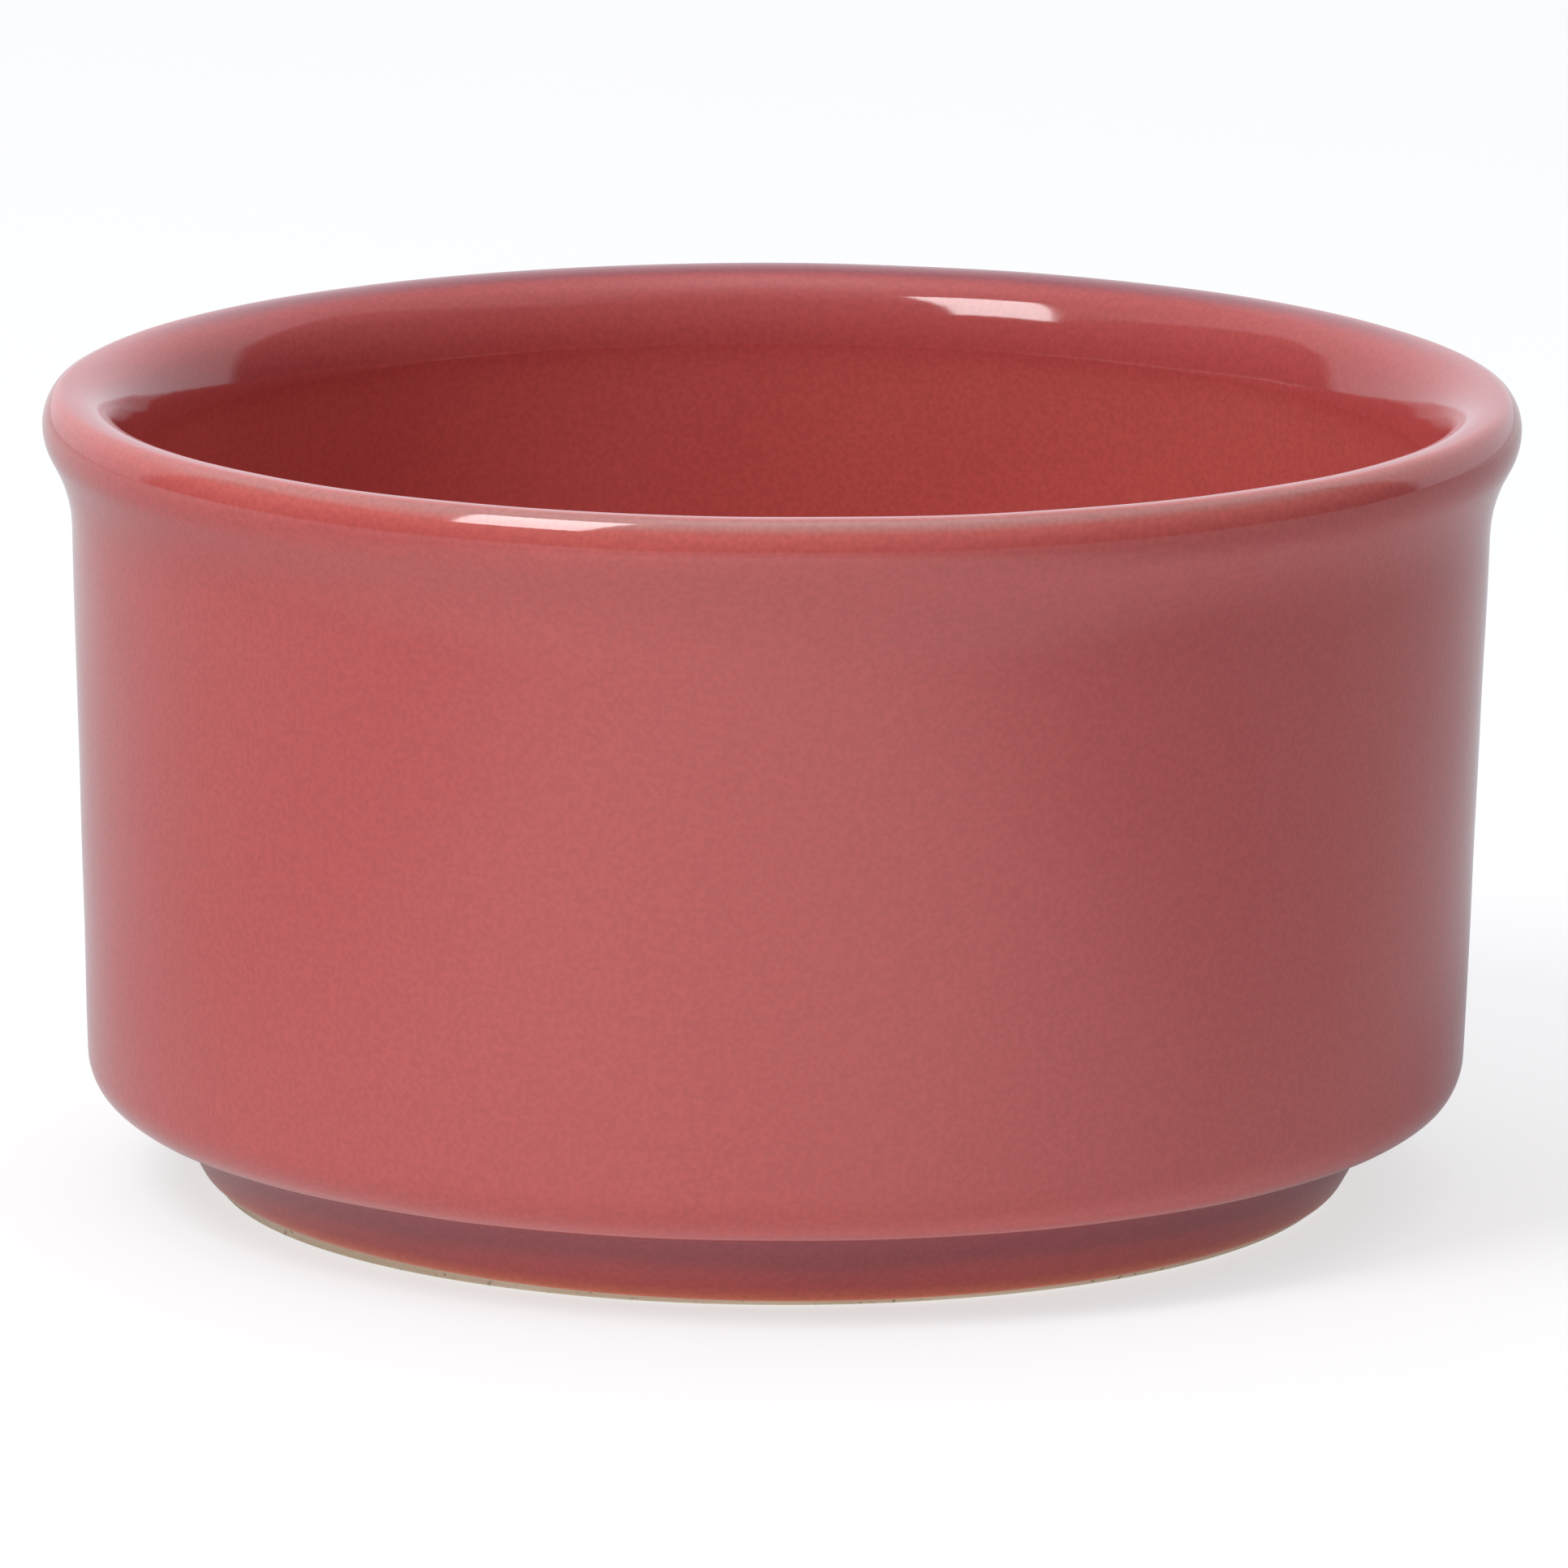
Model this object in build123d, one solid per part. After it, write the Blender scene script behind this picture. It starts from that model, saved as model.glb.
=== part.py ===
from build123d import *
from math import acos, cos, degrees, radians, sin, tan
import os

# A small round baking dish: one moulded and fired stoneware body, and the glaze fused over it.
# Lengths are in millimetres and angles in degrees. Radii are from the dish's axis and heights
# are above the table. They are those of the glazed dish, and the clay lies one glaze thickness
# under them.

# Rolled lip
rim_radius = 45.0            # widest point of the lip
dish_height = 49.3           # crest of the lip
lip_side_round = 2.7         # from the widest point up the lip's side
lip_side_turn = 38.0         # its side leans in by this much where the crest's round begins
lip_outer_round = 1.0        # from there over onto the crest
lip_under_round = 3.6        # under the widest point
lip_overhang = 1.8           # the widest point stands this far out from the wall
neck_round = 9.6             # hollow where the wall sweeps out into the lip
crest_width = 0.2            # all but no flat between the rounds of the lip's two sides
lip_inner_round = 3.5        # from the crest over into the mouth
mouth_flare = 27.0           # the mouth opens upwards: this much under the lip's round
ridge_flare = 6.0            # and this much at the faint ridge where the bowl begins
ridge_round = 0.8

# Wall and bowl
wall_draft = 1.75            # the outside opens upwards so that it leaves its mould
bowl_draft = 1.3             # and so does the inside
wall_thickness = 3.4         # at the foot of the wall
floor_thickness = 4.5
floor_round = 7.0            # floor into wall

# Stacking foot: it drops inside the mouth of the dish below
foot_height = 5.0            # table up to the crease under the shoulder
foot_draft = 29.5
shoulder_step = 4.7          # the foot's top lies this far in from the wall
shoulder_rise = 0.25         # the shoulder's underside climbs a little on its way out
shoulder_round = 3.2
crease_round = 0.6
foot_edge_round = 0.8
foot_ring_width = 3.4        # across the ring's underside
recess_height = 3.5          # the floor's underside, inside the ring
recess_draft = 14.0          # the ring's inner side
recess_round = 1.6

# Glaze
glaze_thickness = 0.35
wiped_height = 0.5           # the foot is wiped clean up to here before firing
glaze_end_round = 0.2


def slope(angle):
    """Radius gained for each unit of height along a side that leans out by an angle."""
    return tan(radians(angle))


def sharp_section(margin):
    """Half section of the glazed dish, drawn a margin too deep at the foot and past the axis.
    Gives its face, in which the lip's arcs are already round, and the corners still to round."""
    # Lip: two arcs carry its outside up onto the crest, and two make the S under it. Those meet
    # where its underside is steepest.
    lean = radians(lip_side_turn)
    side_height = lip_side_round * sin(lean) + lip_outer_round * (1 - sin(lean))
    widest = (rim_radius, dish_height - side_height)
    side = JernArc(widest, (0, 1), lip_side_round, lip_side_turn)
    outer = JernArc(side @ 1, side % 1, lip_outer_round, 90 - lip_side_turn)
    s_rounds = lip_under_round + neck_round
    s_turn = acos((lip_under_round + neck_round * cos(radians(wall_draft)) - lip_overhang) / s_rounds)
    under = JernArc(widest, (0, -1), lip_under_round, -degrees(s_turn))
    neck = JernArc(under @ 1, under % 1, neck_round, degrees(s_turn) - wall_draft)
    outer_crest = outer @ 1
    inner_crest = (outer_crest.X - crest_width, outer_crest.Y)
    crest = Line(outer_crest, inner_crest)
    inner = JernArc(inner_crest, (-1, 0), lip_inner_round, 90 - mouth_flare)

    # Outside: the wall's line runs down from the neck, and the foot steps in under it
    wall_top = neck @ 1
    shoulder_height = foot_height + shoulder_rise
    shoulder_radius = wall_top.X - slope(wall_draft) * (wall_top.Y - shoulder_height)
    foot_radius = shoulder_radius - shoulder_step
    base_radius = foot_radius - slope(foot_draft) * foot_height
    ring_radius = base_radius - foot_ring_width

    # Inside: the mouth is an arc that carries on from the lip's round, and the ridge's round joins
    # it to the bowl's wall. How far the lip's round ends from the line of that wall sets the
    # mouth's radius.
    floor_height = recess_height + floor_thickness
    bowl_radius = shoulder_radius - wall_thickness
    mouth_edge = inner @ 1
    draft = radians(bowl_draft)
    beyond = cos(draft) * (mouth_edge.X - bowl_radius) - sin(draft) * (mouth_edge.Y - floor_height)
    at_mouth = cos(radians(mouth_flare) - draft)
    at_ridge = cos(radians(ridge_flare) - draft)
    mouth_round = (beyond - ridge_round * (1 - at_ridge)) / (at_ridge - at_mouth)
    mouth = JernArc(mouth_edge, inner % 1, mouth_round, mouth_flare - ridge_flare)
    ridge = JernArc(mouth @ 1, mouth % 1, ridge_round, ridge_flare - bowl_draft)
    bowl_top = ridge @ 1

    outside = [
        ((-margin, recess_height), 0),
        ((ring_radius - slope(recess_draft) * recess_height, recess_height), recess_round),
        ((ring_radius + slope(recess_draft) * margin, -margin), foot_edge_round),
        ((base_radius - slope(foot_draft) * margin, -margin), foot_edge_round),
        ((foot_radius, foot_height), crease_round),
        ((shoulder_radius, shoulder_height), shoulder_round),
        ((wall_top.X, wall_top.Y), 0),
    ]
    inside = [
        ((bowl_top.X, bowl_top.Y), 0),
        ((bowl_radius, floor_height), floor_round),
        ((-margin, floor_height), 0),
        ((-margin, recess_height), 0),
    ]
    lower_edges = Polyline(*[point for point, _ in outside])
    upper_edges = Polyline(*[point for point, _ in inside])
    lip = [neck, under, side, outer, crest, inner, mouth, ridge]
    face = make_face([lower_edges, *lip, upper_edges])
    return face, [corner for corner in outside + inside if corner[1] > 0]


def rounded_section(margin):
    """The same half section with every corner rounded."""
    section, corners = sharp_section(margin)
    for (radius, height), corner_round in corners:
        corner = section.vertices().sort_by_distance(Vector(radius, height))[0]
        section = fillet(corner, corner_round)
    return section


def kept_above(section, height):
    """The part of a half section that lies off the axis and above a height."""
    window = Rectangle(rim_radius, dish_height - height, align=Align.MIN)
    return section & Pos(0, height) * window


def turned(section):
    """The solid that a half section sweeps in one turn about the dish's axis."""
    return revolve(Plane.XZ * section, Axis.Z)


# The clay's outline runs one glaze thickness inside the glazed one. That one is drawn the same
# thickness too deep, so the clay itself stands on the table and reaches the axis.
glazed_section = rounded_section(glaze_thickness)
clay_section = offset(glazed_section, -glaze_thickness, kind=Kind.INTERSECTION)

# Glaze covers the clay down to the wiped line, outside the foot ring and inside it, and runs out
# there in a rounded edge. Its outermost and innermost corners on that line are the ones that show.
glaze_section = kept_above(glazed_section - clay_section, wiped_height)
ends = glaze_section.vertices().group_by(Axis.Y)[0].sort_by(Axis.X)
glaze_section = fillet([ends[0], ends[-1]], glaze_end_round)
base_section, coat_section = glaze_section.faces().sort_by(Axis.Y)

parts = {
    "clay_body": turned(kept_above(clay_section, 0)),
    "glaze_coat": turned(coat_section),
    "base_glaze": turned(base_section),
}

os.makedirs("parts", exist_ok=True)
for name, shape in parts.items():
    shape.label = name
    export_step(shape, f"parts/{name}.step")
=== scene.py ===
from math import cos, radians, sin, tan

import bpy
import numpy as np
from mathutils import Matrix, Vector


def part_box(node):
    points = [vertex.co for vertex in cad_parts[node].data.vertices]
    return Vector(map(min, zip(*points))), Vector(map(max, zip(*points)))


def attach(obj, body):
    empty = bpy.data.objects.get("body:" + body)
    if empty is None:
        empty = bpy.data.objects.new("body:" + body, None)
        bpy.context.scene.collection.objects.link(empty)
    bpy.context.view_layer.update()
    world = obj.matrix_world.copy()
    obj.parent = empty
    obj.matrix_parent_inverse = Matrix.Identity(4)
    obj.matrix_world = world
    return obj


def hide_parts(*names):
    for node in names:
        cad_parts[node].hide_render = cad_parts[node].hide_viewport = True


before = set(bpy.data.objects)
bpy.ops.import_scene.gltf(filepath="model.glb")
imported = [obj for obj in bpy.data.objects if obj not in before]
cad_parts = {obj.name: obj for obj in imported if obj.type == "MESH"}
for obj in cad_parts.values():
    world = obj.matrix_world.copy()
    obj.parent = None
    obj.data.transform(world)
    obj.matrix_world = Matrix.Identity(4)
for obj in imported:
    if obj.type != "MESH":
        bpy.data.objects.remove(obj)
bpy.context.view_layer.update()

# Lengths are in millimetres and angles in degrees until a mesh, lamp or camera is made.
# A length along the outline counts from the middle of the base.
MM = 0.001

# The glazed outline, hung from the rim that the frame gives
rim_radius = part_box("glaze_coat")[1].x / MM
dish_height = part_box("glaze_coat")[1].z / MM
lip_side_round = 2.7
lip_side_turn = 38.0
lip_outer_round = 1.0
lip_under_round = 3.6
lip_overhang = 1.8
neck_round = 9.6
crest_width = 0.2
lip_inner_round = 3.5
mouth_flare = 27.0
ridge_flare = 6.0
ridge_round = 0.8
wall_draft = 1.75
bowl_draft = 1.3
wall_thickness = 3.4
floor_height = 8.0
floor_round = 7.0
foot_height = 5.0
foot_draft = 29.5
shoulder_step = 4.7
shoulder_rise = 0.25
shoulder_round = 3.2
crease_round = 0.6
foot_edge_round = 0.8
foot_ring_width = 3.4
recess_height = 3.5
recess_draft = 14.0
recess_round = 1.6
glaze_thickness = 0.35

# What firing leaves of its form
lean = 0.0053                # the body leans this much to the right for each millimetre of height
oval = 0.05                  # the plan is out of round by this much
oval_turn = 0.6              # and widest this many radians from +X away from +Y
side_sag = 0.18              # the rim hangs this much lower at its left and right
right_sag = 0.08             # and this much more on the right

# Slow waves of the fired glaze, and how far they keep from its wiped edge and from the axis
wave_count = 14
wave_seed = 7
wave_height = 0.012
wave_top = 2.5               # their sum at which the glaze is full, and which it seldom reaches
shortest_wave, longest_wave = 9, 30
fewest_around, most_around = 3, 22
calm_edge = 3
calm_middle = 6

# Where the glaze gathered and thinned, and where its colour paints shade and light: its share of the
# thickness and its reach
# the crease's pool also paints the shade under the shoulder with its darker colour
crease_pool_and_shade, crease_reach = 0.45, 3.0
# painted shade: a darker colour on the lip's inner round at the back
back_shade, back_shade_place, back_shade_reach = 0.40, 1.5, 1.1
crest_shift = 0.15           # the thin crest lies this far down the lip's outer side
# the thin crest, weighted to the front, also paints the pale reflection on the front lip
crest_thin_and_sheen, crest_reach = 0.60, 0.75
side_thin_and_sheen, side_place, side_reach = 0.26, -1.4, 1.5
sheen_side_level, front_sheen_rise = 0.40, 0.60
# a paler glaze that paints light into the bowl, most of all at its top
bowl_light, bowl_blend = 0.28, 0.8    # from the ridge down, setting in softly
bowl_top_light, bowl_top_reach = 0.07, 6

# The wiped line on the foot: how far up the foot's side from the table it runs, at places counted
# in degrees from +X towards +Y
line_places = np.array([-135, -110, -90, -65, -30, 10, 60, 110, 160, 200])
line_heights = np.array([0.77, 0.31, 0.13, 0.25, 0.29, 0.45, 0.70, 0.55, 0.75, 0.87])
line_narrowness = 9
inner_line, inner_swing = 0.45, 0.25
bead_width = 0.7             # the glaze's edge rounds over in this width
edge_start = 0.5             # the mesh's last row lies here before the wiped line moves it
edge_fade = 1.6              # how far into the mesh that move is felt
# rows of the mesh are closer near the wiped line, at these distances from its first or last row
EDGE_ROWS = np.array([0, 0.03, 0.08, 0.16, 0.27, 0.4, 0.55, 0.75])

# Mesh
TURNS = 360
AROUND = np.arange(TURNS) * 2 * np.pi / TURNS
LONGEST_PIECE = 1.1
FINEST_ANGLE = 5.0
HIDDEN_ROWS = slice(None, None, 5)

# Floor: how it glows to the camera, and the painted glow with which it throws light up under the dish
floor_half = 3000
floor_glow = 0.66
pool_across, pool_front, pool_wide, pool_deep, pool_level = -10, -140, 125, 145, 0.60
pool_core, pool_rim = 0.4, 1.3
sweep_slant, sweep_deep, sweep_level = -0.5, 500, 0.28

# Room: its own light, and the white paper behind the dish and over it
room_level, ceiling_level, paper_behind, paper_above = 0.06, 0.68, 1.05, 0.80
zenith_level, zenith_power = 1.05, 18.0
behind_edge = (0.38, 0.47)   # cosine of the angle from straight back, softly, to either side
above_front = (-1.0, -0.2)   # on a plane one unit over the dish the paper reaches to here
above_side = (0.95, 1.15)
above_shift = 0.22
above_starts = (0.60, 0.85)  # sine of the elevation at which the paper overhead takes over
lowest_rise = 0.02

# Softbox, high on the left
key_azimuth, key_elevation, key_distance = 48, 48, 900
key_width, key_height, key_level, key_turn = 290, 430, 11.5, 10

# Camera: it stands 900 mm from a point on the axis, 12 degrees above level
distance, above, roll = 900, 11.88, 0.275
swing_height = 23
aim_across, aim_height = 0.21, 24.44
lens_px = 18130
frame_px = 1932
sensor = 36


def unit(vector):
    """The vector at length one."""
    return vector / np.linalg.norm(vector)


def outline_corners():
    """Corners of the glazed half section with their rounds, from the axis under the base, round the
    foot, up the wall, over the lip and down the bowl to the axis. An arc whose two sides are known
    is given by the corner where its tangents cross: the lip's rounds all are. The mouth's gentle
    arc stands beyond the line of the bowl's wall by an amount that sets its radius."""
    side = radians(lip_side_turn)
    widest = dish_height - lip_outer_round * (1 - sin(side)) - lip_side_round * sin(side)
    draft = radians(wall_draft)
    steep = np.arccos(
        (lip_under_round + neck_round * cos(draft) - lip_overhang) / (lip_under_round + neck_round)
    )
    # tangents of the under-lip round and of the neck cross the upright and each other here
    under_corner = np.array([rim_radius, widest - lip_under_round * tan(steep / 2)])
    run = lip_under_round * tan(steep / 2) + neck_round * tan((steep - draft) / 2)
    neck_corner = under_corner - run * np.array([sin(steep), cos(steep)])

    # the foot is drawn a glaze thickness too deep, so that the clay inside it stands on the table
    deep = glaze_thickness
    foot_slope = tan(radians(foot_draft))
    recess_slope = tan(radians(recess_draft))
    shoulder_height = foot_height + shoulder_rise
    shoulder_radius = neck_corner[0] - tan(draft) * (neck_corner[1] - shoulder_height)
    foot_radius = shoulder_radius - shoulder_step
    base_radius = foot_radius - foot_slope * foot_height
    ring_radius = base_radius - foot_ring_width

    # the tangent of the lip's side crosses the upright, and then the level line of the crest
    side_run = lip_side_round * tan(side / 2)
    outer_run = lip_outer_round * tan((np.pi / 2 - side) / 2)
    side_corner = np.array([rim_radius, widest + side_run])
    crest_corner = side_corner + (side_run + outer_run) * np.array([-sin(side), cos(side)])
    crest = crest_corner - np.array([outer_run + crest_width, 0])

    bowl_radius = shoulder_radius - wall_thickness
    flare, inner, bowl = radians(mouth_flare), radians(ridge_flare), radians(bowl_draft)
    mouth_edge = crest - lip_inner_round * np.array([cos(flare), 1 - sin(flare)])
    beyond = cos(bowl) * (mouth_edge[0] - bowl_radius) - sin(bowl) * (mouth_edge[1] - floor_height)
    at_ridge = cos(inner - bowl)
    mouth_round = (beyond - ridge_round * (1 - at_ridge)) / (at_ridge - cos(flare - bowl))
    inner_run = lip_inner_round * tan((np.pi / 2 - flare) / 2)
    mouth_run = mouth_round * tan((flare - inner) / 2)
    mouth_corner = mouth_edge - mouth_run * np.array([sin(flare), cos(flare)])
    down_mouth = mouth_run + ridge_round * tan((inner - bowl) / 2)
    ridge = mouth_corner - down_mouth * np.array([sin(inner), cos(inner)])
    return [
        (0, recess_height, 0),
        (ring_radius - recess_slope * recess_height, recess_height, recess_round),
        (ring_radius + recess_slope * deep, -deep, foot_edge_round),
        (base_radius - foot_slope * deep, -deep, foot_edge_round),
        (foot_radius, foot_height, crease_round),
        (shoulder_radius, shoulder_height, shoulder_round),
        (*neck_corner, neck_round),
        (*under_corner, lip_under_round),
        (*side_corner, lip_side_round),
        (*crest_corner, lip_outer_round),
        (crest[0] - inner_run, dish_height, lip_inner_round),
        (*mouth_corner, mouth_round),
        (*ridge, ridge_round),
        (bowl_radius, floor_height, floor_round),
        (0, floor_height, 0),
    ]


def rounded(corners):
    """Walks the corners. Each is cut back by its round times the tangent of half its turn, and the
    arc between is centre plus round times the unit normal, at steps of the finest angle. Straight
    runs are divided into pieces no longer than the longest. Gives points, outward normals and how
    much each point is rounded: plus one over the radius on an edge, minus on a hollow."""
    corners = np.array(corners, float)
    points, normals, bends = [], [], []
    start = corners[0, :2]
    for before, here, after in zip(corners[:-2], corners[1:-1], corners[2:]):
        into, out = unit(here[:2] - before[:2]), unit(after[:2] - here[:2])
        turn = np.arctan2(into[0] * out[1] - into[1] * out[0], into @ out)
        cut = here[2] * np.tan(abs(turn) / 2)
        end = here[:2] - cut * into
        pieces = max(int(np.linalg.norm(end - start) / LONGEST_PIECE), 1)
        share = np.arange(pieces)[:, None] / pieces
        points.append(start + share * (end - start))
        normals.append(np.repeat([[into[1], -into[0]]], pieces, axis=0))
        bends.append(np.zeros(pieces))
        steps = max(int(np.degrees(abs(turn)) / FINEST_ANGLE), 3)
        angle = np.linspace(0, turn, steps, endpoint=False)
        heading = np.stack([into[0] * np.cos(angle) - into[1] * np.sin(angle),
                            into[0] * np.sin(angle) + into[1] * np.cos(angle)], axis=1)
        outward = np.stack([heading[:, 1], -heading[:, 0]], axis=1)
        side = np.sign(turn)
        centre = end - side * here[2] * np.array([into[1], -into[0]])
        points.append(centre + side * here[2] * outward)
        normals.append(outward)
        bends.append(np.full(steps, side / here[2]))
        start = here[:2] + cut * out
    pieces = max(int(np.linalg.norm(corners[-1, :2] - start) / LONGEST_PIECE), 1)
    share = np.linspace(0, 1, pieces + 1)[:, None]
    points.append(start + share * (corners[-1, :2] - start))
    normals.append(np.repeat([[out[1], -out[0]]], pieces + 1, axis=0))
    bends.append(np.zeros(pieces + 1))
    return np.concatenate(points), np.concatenate(normals), np.concatenate(bends)


def cut_at(points, normals, lengths, at):
    """The outline and its normals read at given lengths along it, by straight interpolation."""
    read = [np.interp(at, lengths, values) for values in (*points.T, *normals.T)]
    return np.stack(read[:2], axis=-1), np.stack(read[2:], axis=-1)


def turned(radius, height):
    """Carries a profile round the axis: x = r cos a, y = r sin a, z = h, for whole arrays of rows
    along the profile and columns round it. The body leans as it rises, is a little oval, and sags
    at its left and right, most of all on the right, by the square of the height."""
    radius = radius * (1 - oval / rim_radius * np.sin(AROUND + oval_turn) ** 2)
    sag = side_sag * np.cos(AROUND) ** 2 + right_sag * (1 + np.cos(AROUND)) / 2
    return np.stack([
        radius * np.cos(AROUND) + lean * (height - dish_height),
        radius * np.sin(AROUND),
        height - sag * (height / dish_height) ** 2,
    ], axis=-1)


def shell(name, grid, looks=None):
    """A closed skin from a grid of points, rows by columns. The columns wrap round, and the first
    and last rows, which lie on the axis, become one point each. Looks are named values for the
    material, one for each point of the grid."""
    rows, columns = grid.shape[:2]
    middle = grid[1:-1].reshape(-1, 3)
    points = np.concatenate([middle, grid[:1, 0], grid[-1:, 0]]) * MM
    row = np.arange(rows - 3)[:, None] * columns
    here, ahead = np.arange(columns), (np.arange(columns) + 1) % columns
    quads = np.stack([row + here, row + ahead, row + columns + ahead, row + columns + here], axis=-1)
    first, last, lowest = len(points) - 2, len(points) - 1, (rows - 3) * columns
    cap = np.stack([np.full(columns, first), ahead, here], axis=-1)
    base = np.stack([np.full(columns, last), lowest + here, lowest + ahead], axis=-1)
    mesh = bpy.data.meshes.new(name)
    faces = quads.reshape(-1, 4).tolist() + cap.tolist() + base.tolist()
    mesh.from_pydata(points.tolist(), [], faces)
    mesh.polygons.foreach_set("use_smooth", np.ones(len(mesh.polygons), bool))
    for look, values in (looks or {}).items():
        layer = mesh.attributes.new(look, "FLOAT", "POINT")
        ends = [values[0, 0], values[-1, 0]]
        layer.data.foreach_set("value", np.append(values[1:-1].ravel(), ends))
    piece = bpy.data.objects.new(name, mesh)
    bpy.context.scene.collection.objects.link(piece)
    return piece


def smooth_round(places, heights):
    """Heights set at a few places round the dish, joined by a smooth closed curve: each place pulls
    with the weight exp(k (cos(angle - place) - 1)), and the weights are shared out."""
    pull = np.exp(line_narrowness * (np.cos(AROUND[:, None] - np.radians(places)) - 1))
    return (pull * heights).sum(axis=-1) / pull.sum(axis=-1)


def ripple(lengths):
    """Slow waves of the fired glaze: a sum of sines along the profile and round it, of seeded
    wavelengths and phases, whose mean square is a half."""
    chance = np.random.default_rng(wave_seed)
    total = np.zeros(lengths.shape)
    for _ in range(wave_count):
        along = 2 * np.pi / chance.uniform(shortest_wave, longest_wave) * chance.choice([-1, 1])
        around = chance.integers(fewest_around, most_around)
        total += np.sin(along * lengths + around * AROUND + chance.uniform(0, 2 * np.pi))
    return total / wave_count ** 0.5


def outline():
    """The glazed outline with its lengths from the base's middle."""
    points, normals, bends = rounded(outline_corners())
    lengths = np.append(0, np.cumsum(np.linalg.norm(np.diff(points, axis=0), axis=1)))
    return points, normals, bends, lengths


def hump(off, reach):
    """A smooth hill, exp(-(off / reach) squared)."""
    return np.exp(-(off / reach) ** 2)


def depth_with_painted_light(at, bends, lengths):
    """How thick the glaze looks at lengths along the outline, which sets its colour and with it painted
    shade and light: 1 on the wall, more about the foot's crease, where the glaze gathered and where its
    darker colour also paints the shade under the shoulder, and on the lip's inner round at the back,
    where the darker colour is painted shade. It is less over the lip's tight outer round, where the
    glaze drew away while it melted, and most of all in front, where the paler colour also paints the
    reflection on the lip. It is less in the bowl, most of all at its top, where the paler colour paints
    light into the bowl. The crease's pool, the painted shade and the thin places fade as humps, and
    the bowl sets in as 1 / (1 + exp(-d / blend)), with d the distance past its ridge."""
    crease = lengths[np.isclose(bends, -1 / crease_round)].mean()
    crest = lengths[np.isclose(bends, 1 / lip_outer_round)].mean() - crest_shift
    # the foot's edges have the same round as the ridge, which lies farthest along
    ridge = lengths[np.isclose(bends, 1 / ridge_round)].max()
    # the crease's pool, whose darker colour also paints the shade under the shoulder
    crease_pool_shade = crease_pool_and_shade * hump(at - crease, crease_reach)
    # painted shade: the lip's inner round at the back is made darker
    behind = np.clip(np.sin(AROUND), 0, 1)
    back_shaded = back_shade * hump(at - crest - back_shade_place, back_shade_reach) * behind
    # the thin crest is weighted to the front, where its paler colour also paints the reflection on the
    # lip; at the back it turns thicker and darker, painted shade
    front = sheen_side_level - front_sheen_rise * np.sin(AROUND)
    over_crest = crest_thin_and_sheen * hump(at - crest, crest_reach)
    thin_and_sheen = over_crest + side_thin_and_sheen * hump(at - crest - side_place, side_reach)
    # painted light: the bowl is made paler, most of all at its top
    down = at - ridge
    top = bowl_top_light * np.exp(-np.maximum(down, 0) / bowl_top_reach)
    bowl_painted_light = (bowl_light + top) / (1 + np.exp(-down / bowl_blend))
    return (1 + crease_pool_shade + back_shaded) * (1 - thin_and_sheen * front) * (1 - bowl_painted_light)


def glaze_skin(name, from_start, to_end, wiped, inward):
    """A glaze solid between two lengths of the outline. Its outer side is the outline pushed in by
    what the glaze lacks at its wiped edge, a quarter round, and by its waves. Its inner side is the
    outline one thickness in. wiped is the length at which the edge runs, for each column, and
    inward says that it is the far end."""
    points, normals, bends, lengths = outline()
    edge = to_end if inward else from_start
    close = edge - EDGE_ROWS if inward else edge + EDGE_ROWS
    rows = lengths[(lengths >= from_start) & (lengths <= to_end)]
    rows = np.unique(np.round(np.concatenate([rows, close]), 6))[:, None]
    at = rows + np.exp(-np.abs(rows - edge) / edge_fade) * (wiped - edge)
    place, normal = cut_at(points, normals, lengths, at)
    from_edge = np.abs(at - wiped)
    left = 1 - np.clip(from_edge / bead_width, 0, 1)
    thick = glaze_thickness * np.sqrt(1 - left ** 2)
    calm = np.clip(from_edge / calm_edge, 0, 1) * np.clip(place[..., 0] / calm_middle, 0, 1)
    wave = np.minimum(wave_height * (ripple(at) - wave_top) * calm, 0)
    outer = place - normal * (glaze_thickness - thick - wave)[..., None]
    clay = place - normal * glaze_thickness
    depth_and_shading = depth_with_painted_light(at, bends, lengths)
    # the side that lies on the clay is never seen and needs fewer rows
    shown = np.arange(len(at))
    under = shown[::-1][1:-1][HIDDEN_ROWS]
    if inward:
        section = np.concatenate([outer, clay[under], clay[:1]])
        row = np.concatenate([shown, under, shown[:1]])
    else:
        section = np.concatenate([clay[-1:], clay[under], outer])
        row = np.concatenate([shown[-1:], under, shown])
    grid = turned(section[..., 0], section[..., 1])
    return shell(name, grid, {"glaze_depth_and_shading": depth_and_shading[row], "edge_distance": from_edge[row]})


def make_clay():
    """The clay body: the outline one glaze thickness in, turned whole."""
    points, normals, _, _ = outline()
    clay = points - normals * glaze_thickness
    radius = np.repeat(np.maximum(clay[:, :1], 0), TURNS, axis=1)
    height = np.repeat(clay[:, 1:], TURNS, axis=1)
    return shell("stoneware_body", turned(radius, height))


def linear(colour):
    """An sRGB hex colour as linear red, green, blue and alpha."""
    srgb = np.array([int(colour[i:i + 2], 16) for i in (1, 3, 5)]) / 255
    light = np.where(srgb <= 0.04045, srgb / 12.92, ((srgb + 0.055) / 1.055) ** 2.4)
    return (*light.tolist(), 1.0)


def node(tree, kind, settings=None, inputs=None):
    """Adds a node, sets its properties, and fills its inputs: a socket is linked, a value is set."""
    made = tree.nodes.new(kind)
    for name, value in (settings or {}).items():
        setattr(made, name, value)
    for name, value in (inputs or {}).items():
        if isinstance(value, bpy.types.NodeSocket):
            tree.links.new(value, made.inputs[name])
        else:
            made.inputs[name].default_value = value
    return made


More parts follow.
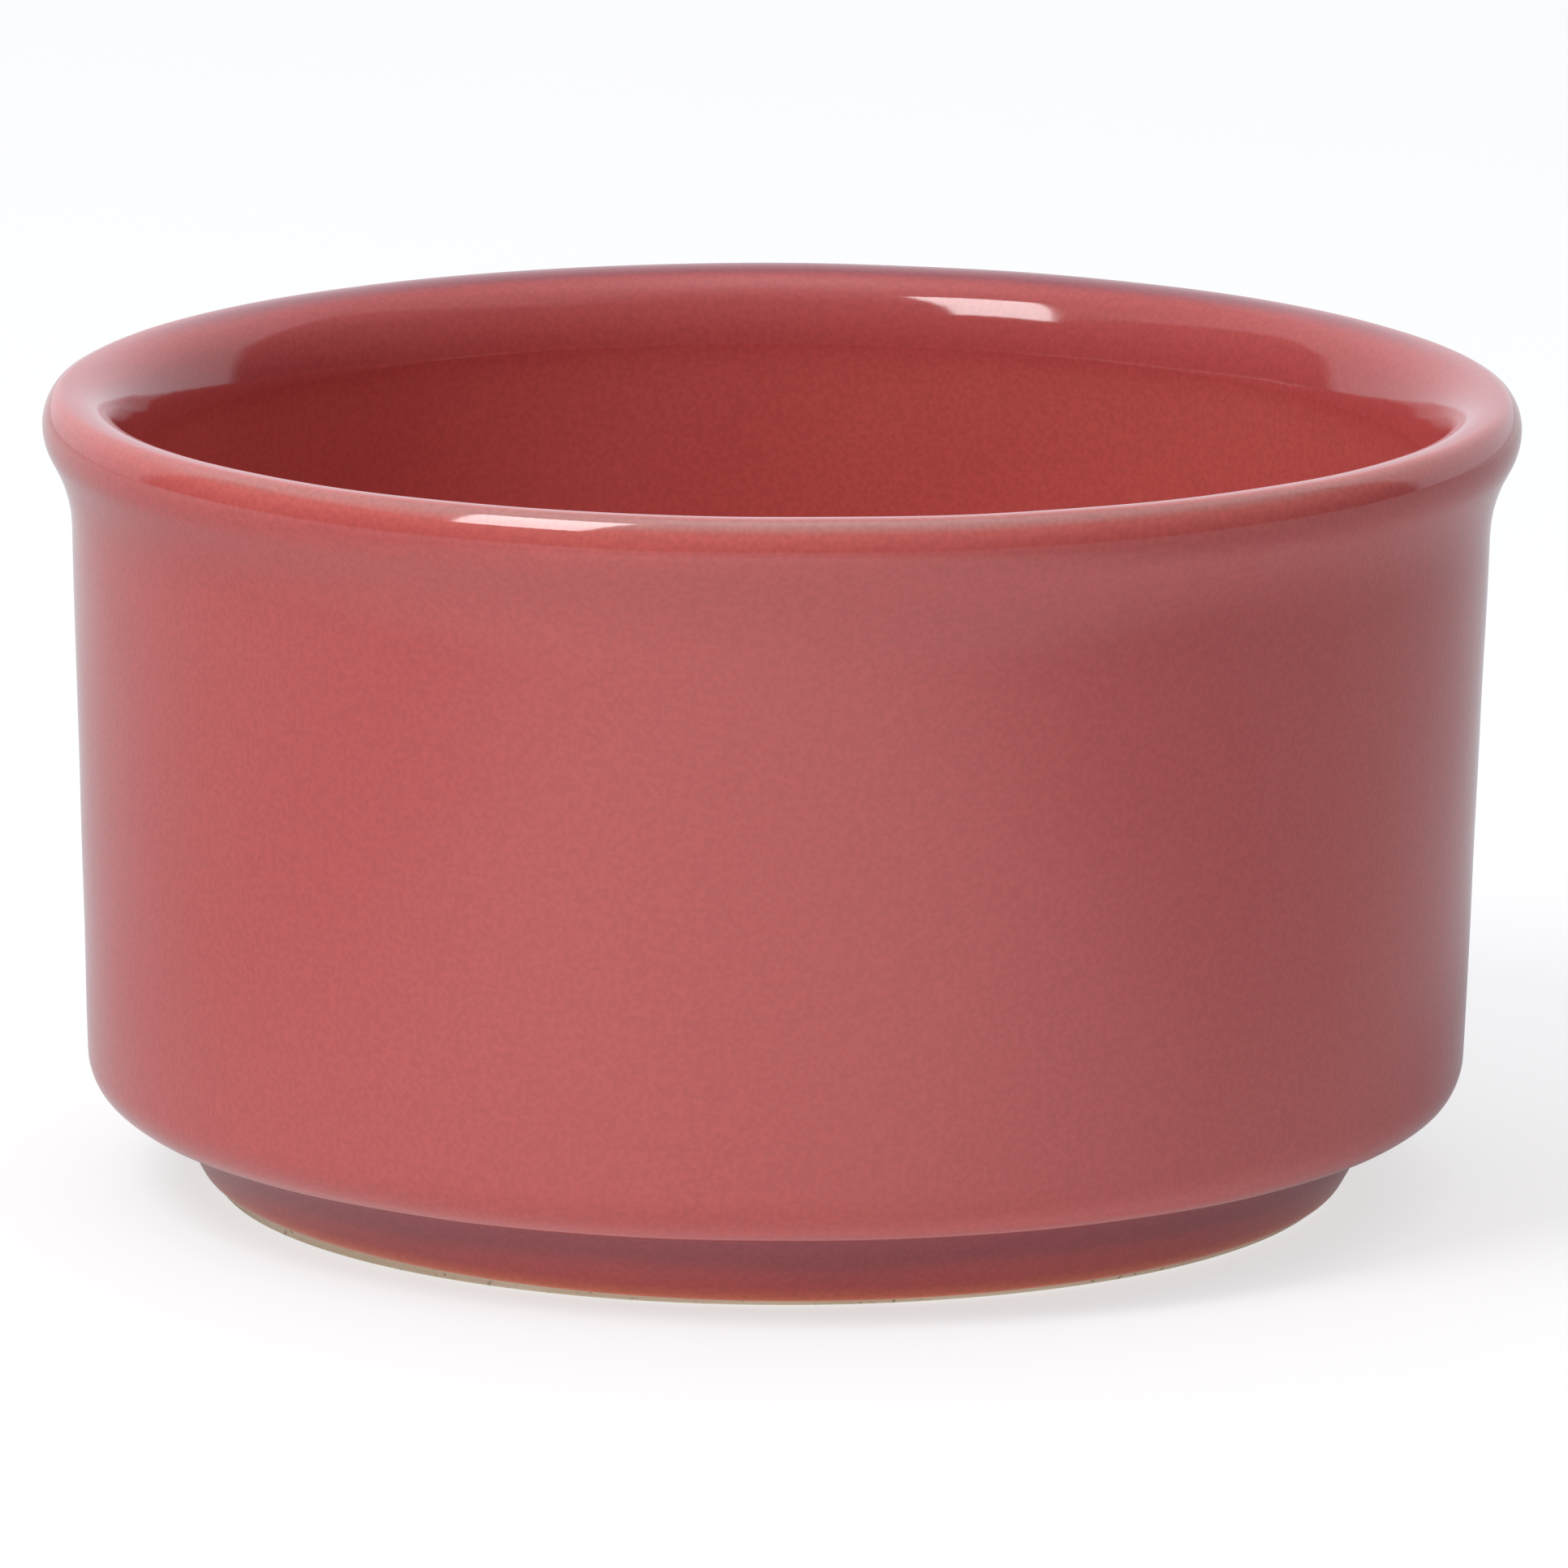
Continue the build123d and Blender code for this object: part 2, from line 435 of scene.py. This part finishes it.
def maths(tree, operation, *values):
    """One arithmetic node."""
    return node(tree, "ShaderNodeMath", {"operation": operation}, dict(enumerate(values))).outputs[0]


def vector_maths(tree, operation, first, second):
    """One arithmetic node on vectors."""
    inputs = {0: first, 1: second}
    return node(tree, "ShaderNodeVectorMath", {"operation": operation}, inputs).outputs[0]


def ramp(tree, value, low, high, at_low=0.0, at_high=1.0, shape="LINEAR"):
    """A straight climb from one level at low to another at high, held beyond both."""
    return node(tree, "ShaderNodeMapRange", {"interpolation_type": shape},
                {"Value": value, "From Min": low, "From Max": high,
                 "To Min": at_low, "To Max": at_high}).outputs[0]


def step(tree, value, low, high, at_low=0.0, at_high=1.0):
    """A smooth step from one level at low to another at high."""
    return ramp(tree, value, low, high, at_low, at_high, "SMOOTHSTEP")


def noise(tree, place, size, detail):
    """Cloudy noise whose clouds are a size across."""
    inputs = {"Vector": place, "Scale": 1 / (size * MM), "Detail": detail}
    return node(tree, "ShaderNodeTexNoise", None, inputs).outputs["Fac"]


def over(tree, share, under, colour):
    """Lays a hex colour over another colour by a share."""
    inputs = {0: share, 6: under, 7: linear(colour)}
    return node(tree, "ShaderNodeMix", {"data_type": "RGBA"}, inputs).outputs[2]


def bumped(tree, height, relief):
    """A normal for a relief whose full height is given."""
    inputs = {"Height": height, "Strength": 1.0, "Distance": relief * MM}
    return node(tree, "ShaderNodeBump", None, inputs).outputs[0]


def glow_of(tree, strength):
    """Plain white light of a strength."""
    inputs = {"Color": (1, 1, 1, 1), "Strength": strength}
    return node(tree, "ShaderNodeEmission", None, inputs).outputs[0]


def blank_material(name):
    """A material with an empty node tree."""
    material = bpy.data.materials.new(name)
    material.use_nodes = True
    material.node_tree.nodes.clear()
    return material, material.node_tree


def coral_dipped_glaze():
    """An opaque glossy glaze, dipped and fused. It is coral red where it lies even, lets the pale clay
    warm it to orange where it drew thin on edges, and goes wine red where it gathered in hollows. Its
    colours also paint light and shade: the wine red paints shade in the foot's crease and on the back
    of the lip, the pale crest paints a reflection in front, and a paler coral paints light into the
    bowl."""
    material, tree = blank_material("coral_dipped_glaze")
    place = node(tree, "ShaderNodeTexCoord").outputs["Object"]
    depth_and_shading = node(tree, "ShaderNodeAttribute", {"attribute_name": "glaze_depth_and_shading"}).outputs["Fac"]
    # clouds about 18 mm across, where the dip ran a little thicker or thinner
    clouds = noise(tree, place, 18, 2.0)
    total = maths(tree, "ADD", depth_and_shading, maths(tree, "MULTIPLY_ADD", clouds, 0.20, -0.08))
    # by thickness: thin and pale, which in front also paints a reflection on the lip, then a paler
    # coral that paints light into the bowl, coral as on the wall, and the wine red pool, which also
    # paints shade in the foot's crease and on the back of the lip
    body = linear("#BE7E77")
    for begins, ends, colour in (
        (0.3, 0.66, "#C8615B"),
        (0.66, 0.90, "#BC5250"),
        (1.07, 1.34, "#984A50"),
    ):
        body = over(tree, step(tree, total, begins, ends), body, colour)
    # towards the wiped edge it thins out to orange over 1.5 mm, and the clay shows through its last
    # 0.24 mm
    edge = node(tree, "ShaderNodeAttribute", {"attribute_name": "edge_distance"}).outputs["Fac"]
    for reach, colour in ((1.5, "#DF7855"), (0.24, "#E9C09C")):
        body = over(tree, step(tree, edge, 0.0, reach, 1.0, 0.0), body, colour)
    # pigment grains, real ones 0.1 mm, drawn 0.35 mm so that they show
    fleck = ramp(tree, noise(tree, place, 0.35, 1.0), 0.35, 0.65, 0.94, 1.06)
    body = node(tree, "ShaderNodeVectorMath", {"operation": "SCALE"},
                {"Vector": body, "Scale": fleck}).outputs[0]
    # orange peel: dimples 1.6 mm apart and 6 microns deep
    bump = bumped(tree, noise(tree, place, 1.6, 1.0), 0.006)
    # the clouds also make its gloss a little uneven
    gloss = ramp(tree, clouds, 0.0, 1.0, 0.05, 0.10)
    shader = node(tree, "ShaderNodeBsdfPrincipled", None,
                  {"Base Color": body, "Roughness": gloss, "IOR": 1.52, "Normal": bump})
    node(tree, "ShaderNodeOutputMaterial", None, {"Surface": shader.outputs[0]})
    return material


def wiped_stoneware():
    """Bare fired clay, sponged clean of glaze: cream, matt, with fine sand standing in it."""
    material, tree = blank_material("wiped_cream_stoneware")
    place = node(tree, "ShaderNodeTexCoord").outputs["Object"]
    # sand grains half a millimetre across, and stains about 9 mm across from the sponge
    sand = noise(tree, place, 0.5, 3.0)
    stain = ramp(tree, noise(tree, place, 9, 2.0), 0.35, 0.7)
    body = over(tree, stain, linear("#F0E0CA"), "#E4D0B6")
    body = over(tree, ramp(tree, sand, 0.62, 0.72), body, "#A08A70")
    bump = bumped(tree, sand, 0.06)
    shader = node(tree, "ShaderNodeBsdfPrincipled", None,
                  {"Base Color": body, "Roughness": 0.85, "IOR": 1.5, "Normal": bump})
    node(tree, "ShaderNodeOutputMaterial", None, {"Surface": shader.outputs[0]})
    return material


def pale_floor():
    """A matt white table top, which throws light back up under the dish. It also glows, as painted
    light:
    a pool of light in front of the dish, and a glow behind and more so on the left, which light the
    dish from below. To the camera it is a greyer paper that glows, so that it reads as white and
    still keeps the dish's shadow."""
    material, tree = blank_material("matt_white_floor")
    camera_sees = node(tree, "ShaderNodeLightPath").outputs["Is Camera Ray"]
    place = node(tree, "ShaderNodeTexCoord").outputs["Object"]
    # distance from the pool's middle in units of its reach across and along the view
    off = vector_maths(tree, "SUBTRACT", place, (pool_across * MM, pool_front * MM, 0))
    off = vector_maths(tree, "DIVIDE", off, (pool_wide * MM, pool_deep * MM, 1))
    away = node(tree, "ShaderNodeVectorMath", {"operation": "LENGTH"}, {0: off}).outputs["Value"]
    # painted light: the table glows in a pool in front of the dish
    pool = step(tree, away, pool_core, pool_rim, pool_level, 0.0)
    # painted glow: behind, and more so on the left, the table glows, standing in for the lit paper into
    # which it runs out of sight
    across, deep, _ = node(tree, "ShaderNodeSeparateXYZ", None, {"Vector": place}).outputs
    leftwards = maths(tree, "MULTIPLY_ADD", across, sweep_slant, deep)
    sweep_glow = step(tree, leftwards, 0.0, sweep_deep * MM, 0.0, sweep_level)
    table = node(tree, "ShaderNodeBsdfDiffuse", None, {"Color": linear("#C8C8C8")}).outputs[0]
    lit = glow_of(tree, maths(tree, "ADD", pool, sweep_glow))
    table = node(tree, "ShaderNodeAddShader", None, {0: table, 1: lit}).outputs[0]
    paper = node(tree, "ShaderNodeBsdfDiffuse", None, {"Color": linear("#A0A0A0")}).outputs[0]
    shown = node(tree, "ShaderNodeAddShader", None, {0: paper, 1: glow_of(tree, floor_glow)}).outputs[0]
    mix = node(tree, "ShaderNodeMixShader", None, {0: camera_sees, 1: table, 2: shown}).outputs[0]
    node(tree, "ShaderNodeOutputMaterial", None, {"Surface": mix})
    return material


def studio_world():
    """The room about the table. It is dim on the camera's side, and white paper hangs behind the dish
    and over it, brightest straight overhead. To the camera it is plain white."""
    world = bpy.data.worlds.new("studio")
    world.use_nodes = True
    tree = world.node_tree
    tree.nodes.clear()
    direction = node(tree, "ShaderNodeTexCoord").outputs["Generated"]
    across, behind, up = node(tree, "ShaderNodeSeparateXYZ", None, {"Vector": direction}).outputs
    # the level part of the direction, kept off zero
    flat = maths(tree, "SQRT", maths(tree, "SUBTRACT", 1.0001, maths(tree, "MULTIPLY", up, up)))
    # the paper behind fills the directions within 64 degrees of straight back
    back = step(tree, maths(tree, "DIVIDE", behind, flat), *behind_edge)
    # the paper overhead, seen on a plane one unit up: its soft front edge and its sides
    rise = maths(tree, "MAXIMUM", up, lowest_rise)
    front = step(tree, maths(tree, "DIVIDE", behind, rise), *above_front)
    sideways = maths(tree, "ADD", maths(tree, "DIVIDE", across, rise), above_shift)
    sides = step(tree, maths(tree, "ABSOLUTE", sideways), *above_side, 1.0, 0.0)
    paper = maths(tree, "MAXIMUM", back, maths(tree, "MULTIPLY", front, sides))
    paper_level = step(tree, up, *above_starts, paper_behind, paper_above)
    overhead = maths(tree, "MULTIPLY", maths(tree, "POWER", rise, zenith_power), zenith_level)
    # the room itself is brighter towards the ceiling
    climb = maths(tree, "MULTIPLY", rise, rise)
    room_here = maths(tree, "MULTIPLY_ADD", climb, ceiling_level, room_level)
    bare = maths(tree, "MULTIPLY", room_here, maths(tree, "SUBTRACT", 1.0, paper))
    papered = maths(tree, "ADD", bare, maths(tree, "MULTIPLY", paper, paper_level))
    strength = maths(tree, "ADD", papered, overhead)
    room = node(tree, "ShaderNodeBackground", None, {"Color": linear("#F4F7FF"), "Strength": strength})
    plain = node(tree, "ShaderNodeBackground", None, {"Color": (1, 1, 1, 1), "Strength": 1.0})
    camera_sees = node(tree, "ShaderNodeLightPath").outputs["Is Camera Ray"]
    shown = node(tree, "ShaderNodeMixShader", None,
                 {0: camera_sees, 1: room.outputs[0], 2: plain.outputs[0]}).outputs[0]
    node(tree, "ShaderNodeOutputWorld", None, {"Surface": shown})
    return world


def panel(name, centre, faces, width, height, level, turn=0.0):
    """A flat rectangular light, such as a softbox or a lit paper screen, centred at a place and turned
    to face another. Level is how bright its face looks, where 1 is white. A lamp of that look gives
    pi times its area times the level, in watts."""
    lamp = bpy.data.lights.new(name, "AREA")
    lamp.shape = "RECTANGLE"
    lamp.size, lamp.size_y = width * MM, height * MM
    lamp.energy = level * np.pi * width * height * MM * MM
    holder = bpy.data.objects.new(name, lamp)
    away = Vector(centre) - Vector(faces)
    face = away.to_track_quat("Z", "Y").to_matrix().to_4x4() @ Matrix.Rotation(radians(turn), 4, "Z")
    holder.matrix_world = Matrix.Translation(Vector(centre) * MM) @ face
    bpy.context.scene.collection.objects.link(holder)
    return holder


def seen_from_dish(azimuth, elevation, far):
    """A place given by its direction from the middle of the mouth. Azimuth is to the left of the
    camera's side."""
    level = cos(radians(elevation))
    return (
        -sin(radians(azimuth)) * level * far,
        -cos(radians(azimuth)) * level * far,
        sin(radians(elevation)) * far + dish_height,
    )


# The dish. The glaze's edges start from where the outline leaves the table, on the foot's outer side
# and in its recess.
points, normals, _, lengths = outline()
foot_low = lengths[(points[:, 1] < 0.0) & (normals[:, 0] > 0.3)].max()
ring_low = lengths[(points[:, 1] < 0.0) & (normals[:, 0] < -0.3)].min()
wiped_outside = foot_low + smooth_round(line_places, line_heights)
wiped_inside = ring_low - inner_line - inner_swing * np.sin(2 * AROUND + 1.0) ** 2

clay = make_clay()
coat = glaze_skin("coral_glaze_coat", foot_low + edge_start, lengths[-1], wiped_outside, False)
base = glaze_skin("coral_base_glaze", 0.0, ring_low - edge_start, wiped_inside, True)

glaze = coral_dipped_glaze()
for piece, replaced, finish, slot in (
    (clay, "clay_body", wiped_stoneware(), "fired_clay"),
    (coat, "glaze_coat", glaze, "coral_glaze"),
    (base, "base_glaze", glaze, "coral_glaze"),
):
    piece.data.materials.append(finish)
    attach(piece, "root")
    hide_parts(replaced)

# Floor
half = floor_half * MM
mesh = bpy.data.meshes.new("floor")
corners = [(-half, -half, 0), (half, -half, 0), (half, half, 0), (-half, half, 0)]
mesh.from_pydata(corners, [], [(0, 1, 2, 3)])
floor = bpy.data.objects.new("floor", mesh)
floor.data.materials.append(pale_floor())
bpy.context.scene.collection.objects.link(floor)

# Light: the softbox and the room
key_place = seen_from_dish(key_azimuth, key_elevation, key_distance)
panel("key_softbox", key_place, (0, 0, dish_height), key_width, key_height, key_level, key_turn)
bpy.context.scene.world = studio_world()

# Camera
rise = radians(above)
eye = Vector((0, -distance * cos(rise), swing_height + distance * sin(rise))) * MM
aim = Vector((aim_across, 0, aim_height)) * MM
camera = bpy.data.objects.new("camera", bpy.data.cameras.new("camera"))
camera.data.sensor_width = sensor
camera.data.lens = sensor * lens_px / frame_px
look = (aim - eye).to_track_quat("-Z", "Y").to_matrix().to_4x4()
camera.matrix_world = Matrix.Translation(eye) @ look @ Matrix.Rotation(radians(roll), 4, "Z")
bpy.context.scene.collection.objects.link(camera)
bpy.context.scene.camera = camera
bpy.context.scene.view_settings.view_transform = "Standard"
